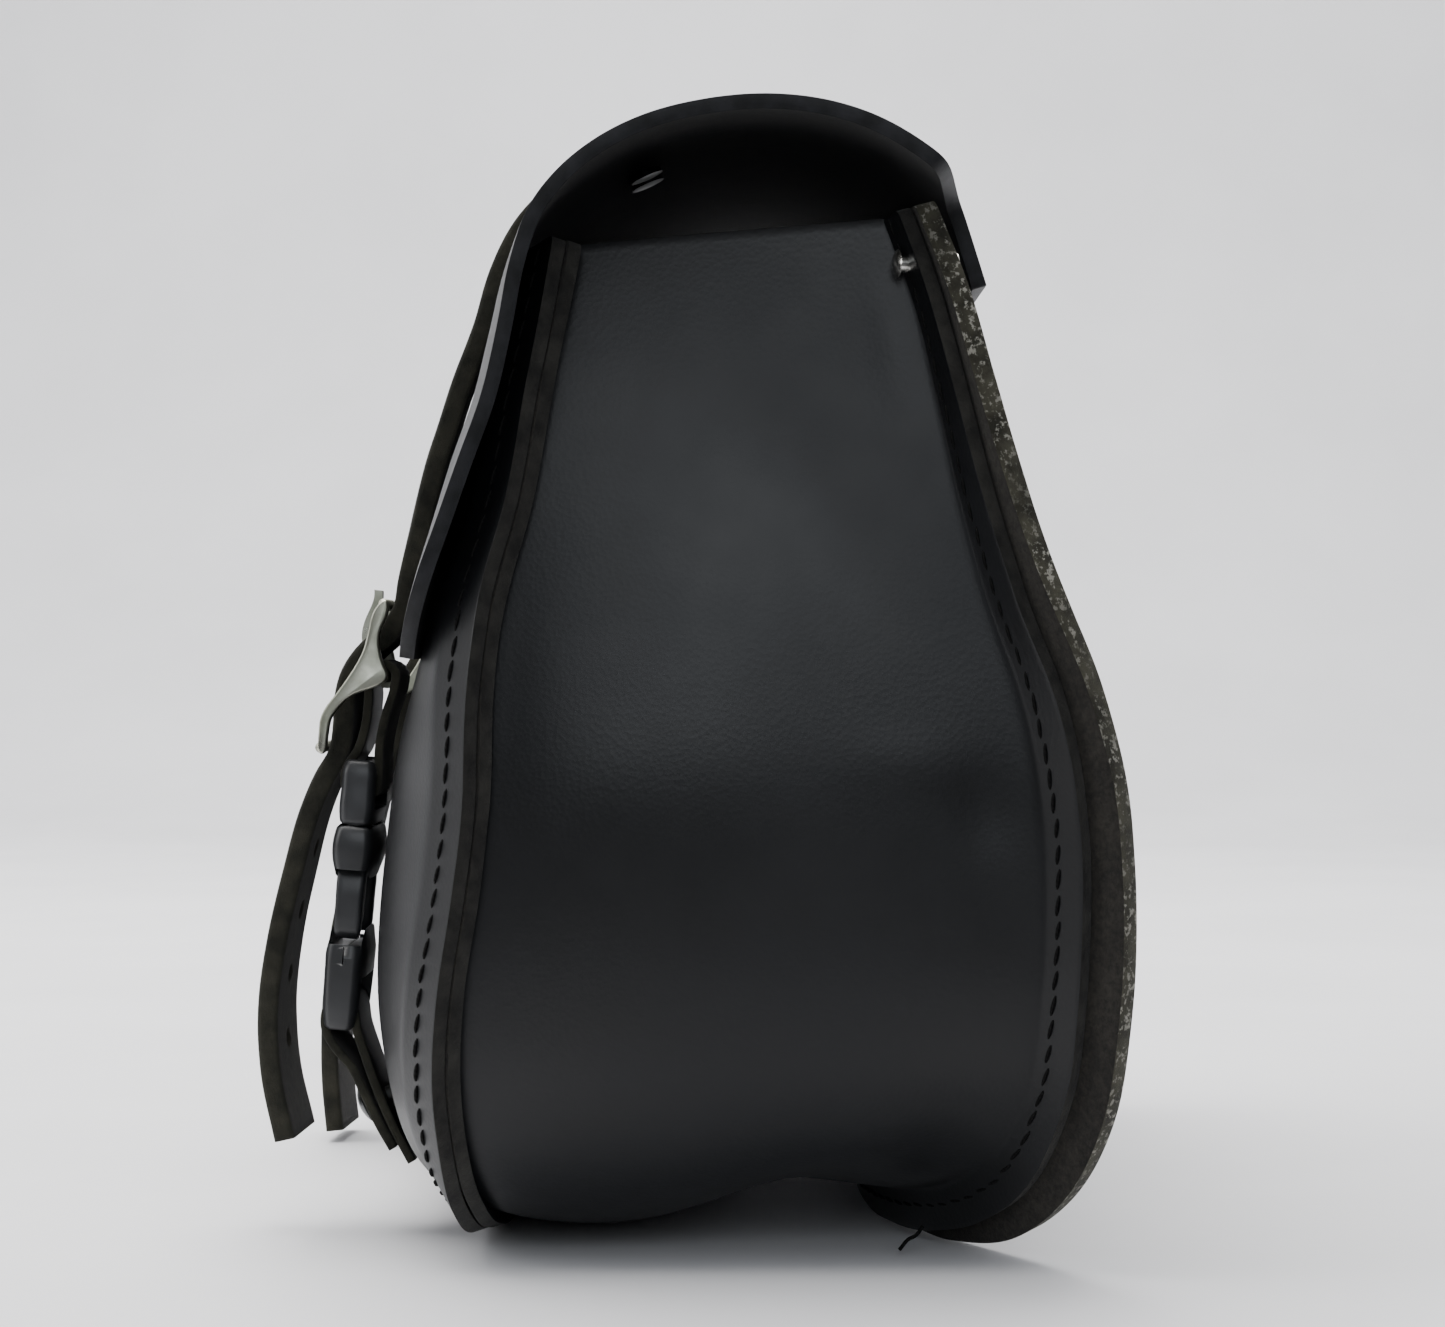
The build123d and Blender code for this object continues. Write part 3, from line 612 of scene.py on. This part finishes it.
def sweepStrap(name, path, x, look, seed, twist=((0, 0), (1, 0))):
    # the section carried along a path in YZ, its depth to the path's left, turned about the path by twist
    rows, thickness = look["rows"], look["thickness"]
    line = throughPoints(path, rows) * mm
    along = unit(np.gradient(line, axis=0))
    left = np.stack([-along[:, 1], along[:, 0]], axis=1)
    section, kinds = strapSection(look["crown"] / thickness)
    angle = np.radians(np.interp(line[:, 1] / mm, *zip(*twist)))[:, None]
    run = runLength(line)
    half = strapLook["width"] / 2 + strapLook["ragged"] * ripple(run, seed, strapLook["wave"])[:, None]
    a, h = section[:, 0] * half, (section[:, 1] - 0.5) * thickness
    sideways = a * np.cos(angle) - h * np.sin(angle)
    deep = a * np.sin(angle) + h * np.cos(angle) + thickness / 2
    y, z = (line[:, k:k + 1] + left[:, k:k + 1] * deep for k in (0, 1))
    points = np.stack([x + sideways, y, z], axis=2)
    count = len(section)
    faces = gridFaces(rows, count, closed=True)
    flat = points.reshape(-1, 3)
    core = np.repeat(points.mean(1)[:-1], count, axis=0)
    turned = facing(flat, faces, flat[faces[:, 0]] - core)
    ends = endCaps(0, rows - 1, count)
    if (turned != faces).any():
        ends = [e[::-1] for e in ends]
    kind = np.concatenate([np.tile(kinds, rows - 1), [2, 2]])
    return makePiece(name, flat, [list(f) for f in turned] + ends, [strapGrain, flesh, strapEdge], kind)


def punch(piece, cutters):
    # each cutter taken from the piece in turn, then the cutters removed
    for cutter in cutters:
        addModifier(piece, "BOOLEAN", operation="DIFFERENCE", object=cutter, solver="EXACT")
    settle(piece)
    for cutter in cutters:
        bpy.data.objects.remove(cutter)


def pin(spot, way, radius, length, sides=20):
    # a closed round pin: circle points carried from one end to the other
    way = unit(np.array(way, float))
    level = unit(np.cross(way, (1.0, 0.0, 0.0)))
    other = np.cross(way, level)
    t = np.linspace(0, 2 * math.pi, sides, endpoint=False)[:, None]
    ring = radius * (level * np.cos(t) + other * np.sin(t))
    points = np.concatenate([spot + ring - way * length / 2, spot + ring + way * length / 2])
    faces = [list(f) for f in gridFaces(2, sides, closed=True)] + endCaps(0, 1, sides)
    piece = makePiece("pin", points, faces, [strapEdge])
    outwardNormals(piece)
    return piece


def lidStrapPath(side):
    # along the lid's outer face over the crown, then the fall to the buckle
    column = int(np.argmin(np.abs(lidGrid[strapLook["lidRow"], :, 0] - strapLook["x"])))
    face = lidGrid[:, column, 1:] / mm
    along = unit(np.gradient(face, axis=0))
    out = np.stack([along[:, 1], -along[:, 0]], axis=1)
    over = face + out * (strapLook["thickness"] / mm + strapLook["clear"])
    wanted = (over[:, 0] < strapLook["front"]) & (over[:, 1] > strapLook["above"])
    fall = strapFall if side > 0 else strapFall[:strapLook["sharedFall"]] + farTail
    return [tuple(p) for p in over[wanted][::strapLook["everyRow"]]] + fall


# twist of each lid strap in degrees at heights in mm, for the near side (1) and the far one (-1)
strapTwist = {1: [(21, -4), (50, -3), (82, -1), (105, 0), (145, 0), (160, 4), (200, 3), (240, 0)],
              -1: [(3, -4), (50, -3), (82, -1), (105, 0), (145, 0), (160, 3), (200, 2), (240, 0)]}


def makeStraps():
    for name, side in (("near", 1), ("far", -1)):
        x = side * strapLook["x"]
        strap = sweepStrap(f"lid_strap_leather_{name}", lidStrapPath(side), x, strapLook, 11 + side,
                           strapTwist[side])
        y, z = strapHoles["top"]
        punch(strap, [pin((x, y, z - strapHoles["pitch"] * k), strapHoles["way"], strapHoles["radius"],
                          strapHoles["length"]) for k in range(strapHoles["count"])])
        hand(strap, "lid", "strap_leather", f"lid_strap_{name}")
        tab = sweepStrap(f"buckle_tab_leather_{name}", tabPath, x, tabLook, 21 + side)
        hand(tab, f"{name}_release", "strap_leather", f"buckle_tab_{name}")
        anchor = sweepStrap(f"anchor_strap_leather_{name}", anchorPath, x, tabLook, 31 + side)
        hand(anchor, "bag", "strap_leather", f"anchor_strap_{name}")


makeStraps()
print("straps made")


stitchLook = {"pitch": 5.3 * mm, "length": 4.3 * mm, "radius": 0.42 * mm, "stand": 0.28 * mm,
              "slant": 0.35 * mm, "share": 0.45, "rings": 7, "sides": 6, "wander": 0.12 * mm,
              "uneven": 0.04, "sunk": 0.35, "taper": 0.75, "count": 260,
              # the thread's loose end, hanging below the back seam's corner
              "end": [(111, 52.4, 6.4), (112, 50.6, 4.4), (112.4, 49.2, 3.8), (113, 47.1, 1.5)]}


def stitchRow(line, normal, seed):
    # each stitch is a short round thread whose middle stands stand (1 - t^4) off the leather, its
    # radius falling as sqrt(1 - taper t^2) to its ends, and its run slanted across the line by slant t
    look = stitchLook
    run = runLength(line)
    dice = np.random.default_rng(seed)
    centre = np.arange(look["pitch"] * 0.6, run[-1] - look["pitch"] * 0.5, look["pitch"])
    centre = centre + dice.normal(0, look["wander"], len(centre))
    t = np.linspace(-1, 1, look["rings"])
    at = centre[:, None] + t * look["length"] / 2 * (1 + dice.normal(0, look["uneven"], (len(centre), 1)))
    here = np.stack([np.interp(at, run, line[:, k]) for k in range(3)], axis=-1)
    up = unit(np.stack([np.interp(at, run, normal[:, k]) for k in range(3)], axis=-1))
    tangent = unit(np.gradient(here, axis=1))
    across = np.cross(tangent, up)
    here = here + up * (look["stand"] * (1 - t**4))[None, :, None] - up * (look["radius"] * look["sunk"])
    here = here + across * (look["slant"] * t)[None, :, None]
    here = here + across * dice.normal(0, look["wander"], (len(centre), 1, 1))
    turn = np.linspace(0, 2 * math.pi, look["sides"], endpoint=False)
    radius = look["radius"] * np.sqrt(1 - look["taper"] * t**2)
    ring = across[:, :, None] * np.cos(turn)[:, None] + up[:, :, None] * np.sin(turn)[:, None]
    return here[:, :, None] + ring * radius[None, :, None, None]


def looseEnd(look=stitchLook):
    # a thin round thread through its four spots, ringed like a stitch
    line = throughPoints([np.array(spot) * mm for spot in look["end"]], 2 * look["rings"])
    across = unit(np.cross(np.gradient(line, axis=0), [1.0, 0.0, 0.0]))
    turn = np.linspace(0, 2 * math.pi, look["sides"], endpoint=False)[:, None]
    ring = across[:, None] * np.cos(turn) + np.array([1.0, 0.0, 0.0]) * np.sin(turn)
    return (line[:, None] + ring * look["radius"])[None]


def stitchMesh(rows):
    # every stitch's rings become a tube closed by two quads at each end
    points, faces = [], []
    base = 0
    for row in rows:
        count, rings, sides = row.shape[:3]
        one = gridFaces(rings, sides, closed=True)
        cap = np.array([[0, 1, 2, 3], [0, 3, 4, 5]])
        caps = np.concatenate([cap[:, ::-1], cap + (rings - 1) * sides])
        local = np.concatenate([one, caps])
        shift = base + np.arange(count)[:, None, None] * rings * sides
        faces.append((local[None] + shift).reshape(-1, 4))
        points.append(row.reshape(-1, 3))
        base += count * rings * sides
    return np.concatenate(points), np.concatenate(faces)


def makeStitching():
    # four rows: each seam is sewn through, so its thread shows on both of its outer faces
    for which, panel in (("front", frontPanel), ("back", backPanel)):
        p, out, way = seamWhole(which, stitchLook["count"])[:3]
        sine = (way * towardBack).sum(1)[:, None]      # of the flange's lean, so outward is square to it
        outward = (-out * sine + towardBack * np.sqrt(1 - sine**2)) * panel["side"]
        line = p + way * seams["flange"] * stitchLook["share"]
        rows = [stitchRow(line + outward * (panel["thickness"] + seams["gap"]), outward, 5),
                stitchRow(line - outward * (gusset["thickness"] + seams["gap"]), -outward, 6)]
        if which == "back":
            rows.append(looseEnd())
        points, faces = stitchMesh(rows)
        piece = makePiece(f"{which}_seam_stitching", points, faces, [thread])
        outwardNormals(piece)
        hand(piece, "bag", f"{'panel' if which == 'front' else 'back'}_leather")


makeStitching()
print("stitching made")


clipSlot = strapLook["width"] / mm + 1.6     # clear width for the strap
clip = {
    "place": (-74.3 * mm, 92.8 * mm), "tilt": math.radians(4.7), "sides": 40, "square": 5.0,
    "ease": 0.3 * mm,
    # stations along the clip: height above the mouth, middle across, half width, half depth
    "male": [(0.3, 0, 15.6, 3.3), (0.9, 0, 16.2, 3.9), (2.5, 0, 16.5, 4.2), (9.0, 0, 16.5, 4.2),
             (13.0, 0, 16.3, 4.1), (14.6, 0, 15.6, 3.5), (15.0, 0, 14.9, 2.9)],
    "guide": [(-23.5, 0, 1.6, 1.3), (-22.6, 0, 2.4, 1.9), (-20.0, 0, 2.5, 2.0), (1.0, 0, 2.5, 2.0)],
    "arm": [(-0.9, 11.4, 0.8, 2.6), (-1.6, 11.4, 1.6, 3.2), (-3.2, 11.45, 1.7, 3.3),
            (-5.0, 11.7, 1.3, 3.3), (-9.6, 11.9, 1.3, 3.25), (-11.2, 12.2, 2.0, 3.2),
            (-13.5, 12.4, 2.4, 3.2), (-17.5, 12.5, 2.45, 3.1), (-21.5, 12.4, 2.4, 3.1),
            (-24.2, 12.2, 2.0, 2.9), (-25.4, 11.9, 1.2, 2.2)],
    "female": [(-46.0, 0, 14.9, 2.8), (-45.4, 0, 15.8, 3.6), (-43.0, 0, 16.4, 4.1), (-37.0, 0, 16.9, 4.5),
               (-32.0, 0, 17.0, 4.6), (-28.4, 0, 17.0, 4.6), (-26.6, 0, 16.9, 4.25), (-9.9, 0, 16.9, 4.25),
               (-8.9, 0, 17.0, 4.6), (-1.0, 0, 17.0, 4.6), (-0.2, 0, 16.7, 4.35), (0.0, 0, 16.3, 4.0)],
    # blocks cut away, as size and middle: the tab's slots and relief, then the socket with its side
    # windows, the anchor strap's slot and relief, and the line where the rim is moulded
    "maleCuts": [((clipSlot, 20, 5.0), (0, 0, 6.4)), ((clipSlot, 20, 3.4), (0, 0, 14.8)),
                 ((clipSlot, 5.0, 8.5), (0, 4.4, 13.0)), ((clipSlot, 5.0, 8.5), (0, -4.4, 13.0))],
    "femaleCuts": [((30.6, 7.4, 27.6), (0, 0, -13.7)), ((60, 7.4, 17.0), (0, 0, -18.2)),
                   ((clipSlot - 0.2, 20, 6.6), (0, 0, -37.4)), ((clipSlot - 0.2, 6.0, 6.0), (0, 4.4, -43.6)),
                   ((clipSlot - 0.2, 6.0, 6.0), (0, -4.4, -43.6)), ((80, 0.25, 4.0), (0, 0, -29.0))],
}


def onClip(points, side):
    # from the clip's own frame (mouth at 0, up the strap) to the bag: tilted about X, then put in place
    x, y, z = points[..., 0], points[..., 1], points[..., 2]
    c, t = math.cos(clip["tilt"]), math.sin(clip["tilt"])
    return np.stack([x + side * strapLook["x"], y * c + z * t + clip["place"][0],
                     z * c - y * t + clip["place"][1]], axis=-1)


def roundLoft(stations, across):
    # sections |x / a|^n + |y / b|^n = 1 carried along the clip and closed by a face at each end
    sides, square = clip["sides"], clip["square"]
    table = throughPoints(stations, 4 * len(stations)) * mm
    table[[0, -1]] = np.array(stations)[[0, -1]] * mm
    turn = np.linspace(0, 2 * math.pi, sides, endpoint=False)
    cosine, sine = np.cos(turn), np.sin(turn)
    x = np.sign(cosine) * np.abs(cosine) ** (2 / square)
    y = np.sign(sine) * np.abs(sine) ** (2 / square)
    height, middle, a, b = (table[:, k:k + 1] for k in range(4))
    points = np.stack([across * (middle + a * x), b * y, height + 0 * x], axis=2)
    faces = [list(f) for f in gridFaces(len(table), sides, closed=True)]
    return points.reshape(-1, 3), faces + endCaps(0, len(table) - 1, sides)


def brick(size, middle, side):
    # a closed block in the clip's frame, used to cut
    corner = np.array([[(-1, 1)[k >> 2 & 1], (-1, 1)[k >> 1 & 1], (-1, 1)[k & 1]] for k in range(8)], float)
    points = onClip((corner * np.array(size) / 2 + np.array(middle)) * mm, side)
    faces = [[0, 1, 3, 2], [4, 6, 7, 5], [0, 4, 5, 1], [2, 3, 7, 6], [0, 2, 6, 4], [1, 5, 7, 3]]
    piece = makePiece("brick", points, faces, [blackPlastic])
    outwardNormals(piece)
    return piece


def plasticPiece(name, side, stations, across=1, cutters=()):
    # the loft with its blocks cut away and its sharp edges eased
    points, faces = roundLoft(stations, across)
    piece = makePiece(name, onClip(points, side), faces, [blackPlastic])
    outwardNormals(piece)
    if cutters:
        punch(piece, [brick(size, middle, side) for size, middle in cutters])
    addModifier(piece, "BEVEL", width=clip["ease"], segments=2, limit_method="ANGLE",
                angle_limit=math.radians(40))
    settle(piece)
    piece.data.polygons.foreach_set("use_smooth", np.ones(len(piece.data.polygons), bool))
    addModifier(piece, "WEIGHTED_NORMAL", keep_sharp=True)
    return settle(piece)


def makeClips():
    for name, side in (("near", 1), ("far", -1)):
        male = plasticPiece(f"clip_male_shell_{name}", side, clip["male"], cutters=clip["maleCuts"])
        hand(male, f"{name}_release", "clip_plastic")
        guide = plasticPiece(f"clip_guide_{name}", side, clip["guide"])
        hand(guide, f"{name}_release", "clip_plastic", f"clip_male_{name}")
        for arm, end in (("outer", side), ("inner", -side)):
            piece = plasticPiece(f"clip_arm_shell_{arm}_{name}", side, clip["arm"], across=end)
            hand(piece, f"{name}_{arm}_arm", "clip_plastic", f"clip_arm_{arm}_{name}")
        female = plasticPiece(f"clip_female_shell_{name}", side, clip["female"], cutters=clip["femaleCuts"])
        hand(female, "bag", "clip_plastic", f"clip_female_{name}")


makeClips()
print("clips made")


buckle = {
    "half": 15.0 * mm, "rail": 3.0 * mm, "ease": 0.55 * mm,
    "outer": [(-66.9, 144.6), (-70.2, 141.6), (-71.3, 136.0), (-72.6, 131.2), (-77.6, 123.6),
              (-81.9, 118.4), (-82.4, 113.0), (-82.6, 109.2)],
    "inner": [(-80.6, 109.2), (-80.2, 114.0), (-79.4, 118.0), (-75.0, 122.6), (-69.0, 124.2),
              (-66.2, 126.4), (-68.2, 130.0), (-69.0, 136.0), (-66.4, 141.0)],
    # cross bars: place in YZ, radius
    "bars": [((-67.7, 142.8), 1.3), ((-68.3, 126.6), 1.4), ((-82.0, 110.6), 1.2)],
}


def cornerCut(ring, times=2):
    # each corner of a closed outline replaced by the points a quarter of the way along its two sides
    for _ in range(times):
        after = np.roll(ring, -1, axis=0)
        ring = np.stack([0.75 * ring + 0.25 * after, 0.25 * ring + 0.75 * after], axis=1).reshape(-1, 2)
    return ring


def railMesh(xMiddle):
    # the rail's outline carried across its thickness, drawn in near each face by a quarter circle
    ring = cornerCut(np.array(buckle["outer"] + buckle["inner"]) * mm)
    along = unit(np.roll(ring, -1, axis=0) - np.roll(ring, 1, axis=0))
    inward = np.stack([along[:, 1], -along[:, 0]], axis=1)
    if (inward * (ring.mean(0) - ring)).sum() < 0:
        inward = -inward
    q = np.linspace(0, math.pi / 2, 4)
    inset = buckle["ease"] * (1 - np.sin(q))
    step = buckle["ease"] * (1 - np.cos(q))
    x = np.concatenate([step - buckle["rail"] / 2, (buckle["rail"] / 2 - step)[::-1]])
    inset = np.concatenate([inset, inset[::-1]])
    line = ring[None] + inward[None] * inset[:, None, None]
    layers, count = line.shape[:2]
    across = np.broadcast_to((xMiddle + x)[:, None, None], (layers, count, 1))
    points = np.concatenate([across, line], axis=2)
    faces = [list(f) for f in gridFaces(layers, count, closed=True)]
    return points.reshape(-1, 3), faces + endCaps(0, layers - 1, count)


def barMesh(place, radius, xMiddle, length, sides=24):
    # a round bar along X: circle points at its two ends
    turn = np.linspace(0, 2 * math.pi, sides, endpoint=False)
    y, z = place[0] * mm + radius * mm * np.cos(turn), place[1] * mm + radius * mm * np.sin(turn)
    points = np.concatenate([np.stack([xMiddle + e * length / 2 + 0 * y, y, z], axis=1) for e in (-1, 1)])
    faces = [list(f) for f in gridFaces(2, sides, closed=True)]
    return points, faces + endCaps(0, 1, sides)


def makeBuckles():
    # two rails joined by the three cross bars, in one mesh
    for name, side in (("near", 1), ("far", -1)):
        x = side * strapLook["x"]
        parts = [railMesh(x + end * buckle["half"]) for end in (-1, 1)]
        parts += [barMesh(place, radius, x, 2 * buckle["half"]) for place, radius in buckle["bars"]]
        points, faces, count = [], [], 0
        for p, f in parts:
            points.append(p)
            faces += [[v + count for v in face] for face in f]
            count += len(p)
        piece = makePiece(f"buckle_frame_metal_{name}", np.concatenate(points), faces, [nickel])
        outwardNormals(piece)
        hand(piece, f"{name}_frame", "buckle_metal", f"buckle_frame_{name}")


makeBuckles()
fittings = {"buckle_tongue": nickel, "lid_strap_rivets": blackCap, "anchor_rivets": blackCap,
            "hinge_rivets": blackCap, "seam_rivets": capMetal, "mount_eyelets": capMetal}
for name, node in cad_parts.items():
    for key, material in fittings.items():
        if name.startswith(key):
            node.data.materials.clear()
            node.data.materials.append(material)
print("fittings finished")


# the dark colour and the span where the floor turns to it are painted shade: a dark floor in front that the
# bag's lower half reflects
floorLook = {"front": [(2.5, 0.0), (0.55, 0.0), (0.2, 0.0)], "bendStart": -1.6, "bend": 0.9, "top": 3.4,
             "halfWidth": 3.5, "pale": ((0.70, 0.70, 0.715), (0.75, 0.75, 0.765)),
             "dark": (0.05, 0.05, 0.052), "paintedShadeSpan": (0.19, 0.42)}
studio = {
    "low": (0.05, 0.052, 0.058), "high": (0.93, 0.95, 1.0), "rise": (-0.1, 0.8), "strength": 0.75,
    # name, place, what it points at, size, power, colour
    "lamps": [("top", (-0.25, -0.35, 1.7), (0, 0, 0.05), 1.8, 74, (1.0, 0.985, 0.965)),
              ("room", (1.7, 0.1, 0.66), (0, 0, 0.15), 0.8, 6.5, (0.90, 0.95, 1.0)),
              ("window", (0.2, -1.6, 0.8), (0, 0, 0.12), 1.1, 12, (1, 1, 1)),
              ("wall", (-0.9, 0, 1.9), (-2.4, 0, 0.6), 1.6, 44, (1, 1, 1))],
    "lens": 83.9, "sensor": 36.0, "eye": (0.848, 0.0085, 0.1295)}


def stage():
    # a pale floor that ends in a dark one in front and sweeps up into a back wall behind: flat, a
    # quarter circle, then upright. The dark floor in front is painted shade, for the bag's lower half to
    # reflect as a dark room
    start, radius = floorLook["bendStart"], floorLook["bend"]
    turn = np.linspace(0, math.pi / 2, 20)
    bend = [(start - radius * math.sin(t), radius - radius * math.cos(t)) for t in turn]
    profile = floorLook["front"] + bend + [(start - radius, floorLook["top"])]
    half = floorLook["halfWidth"]
    rows = np.array([[(x, y, z) for y in (-half, half)] for x, z in profile])
    floor = makePiece("floor", rows.reshape(-1, 3), gridFaces(len(profile), 2), [])
    material, tree, shader, where = newMaterial("paleFloor", Roughness=0.6)
    tone = blendColours(tree, spread(tree, noise(tree, where, 5.0, 4.0), 0.0, 1.0), *floorLook["pale"])
    forward = addNode(tree, "ShaderNodeSeparateXYZ", {0: where}).outputs["X"]
    # painted shade: the floor goes from pale to dark between the two distances in front of the bag
    paintedShade = spread(tree, forward, 0.0, 1.0, *floorLook["paintedShadeSpan"])
    tone = blendColours(tree, paintedShade, tone, floorLook["dark"])
    tree.links.new(tone, shader.inputs["Base Color"])
    floor.data.materials.append(material)


def areaLight(name, place, target, size, power, colour):
    # a square lamp whose own -Z is turned to its target
    light = bpy.data.lights.new(name, "AREA")
    light.shape, light.size, light.energy, light.color = "SQUARE", size, power, colour
    lamp = bpy.data.objects.new(name, light)
    bpy.context.scene.collection.objects.link(lamp)
    aim = np.array(target, float) - np.array(place, float)
    lamp.location = place
    lamp.rotation_euler = (math.atan2(math.hypot(aim[0], aim[1]), -aim[2]), 0,
                           math.atan2(aim[1], aim[0]) - math.pi / 2)


def lightAndCamera():
    # a soft sky over the studio's lamps, and a level camera that looks along -X
    world = bpy.data.worlds.new("studio")
    bpy.context.scene.world = world
    world.use_nodes = True
    tree = world.node_tree      # the room is dark low down and light overhead
    height = addNode(tree, "ShaderNodeSeparateXYZ",
                     {0: addNode(tree, "ShaderNodeTexCoord").outputs["Generated"]}).outputs["Z"]
    rise = spread(tree, height, 0.0, 1.0, *studio["rise"])
    tone = blendColours(tree, rise, studio["low"], studio["high"])
    tree.links.new(tone, tree.nodes["Background"].inputs["Color"])
    tree.nodes["Background"].inputs["Strength"].default_value = studio["strength"]
    for lamp in studio["lamps"]:
        areaLight(*lamp)
    lens = bpy.data.cameras.new("camera")
    lens.lens, lens.sensor_width = studio["lens"], studio["sensor"]
    camera = bpy.data.objects.new("camera", lens)
    bpy.context.scene.collection.objects.link(camera)
    camera.location = studio["eye"]
    camera.rotation_euler = (math.pi / 2, 0, math.pi / 2)
    bpy.context.scene.camera = camera


stage()
lightAndCamera()
print("stage set")
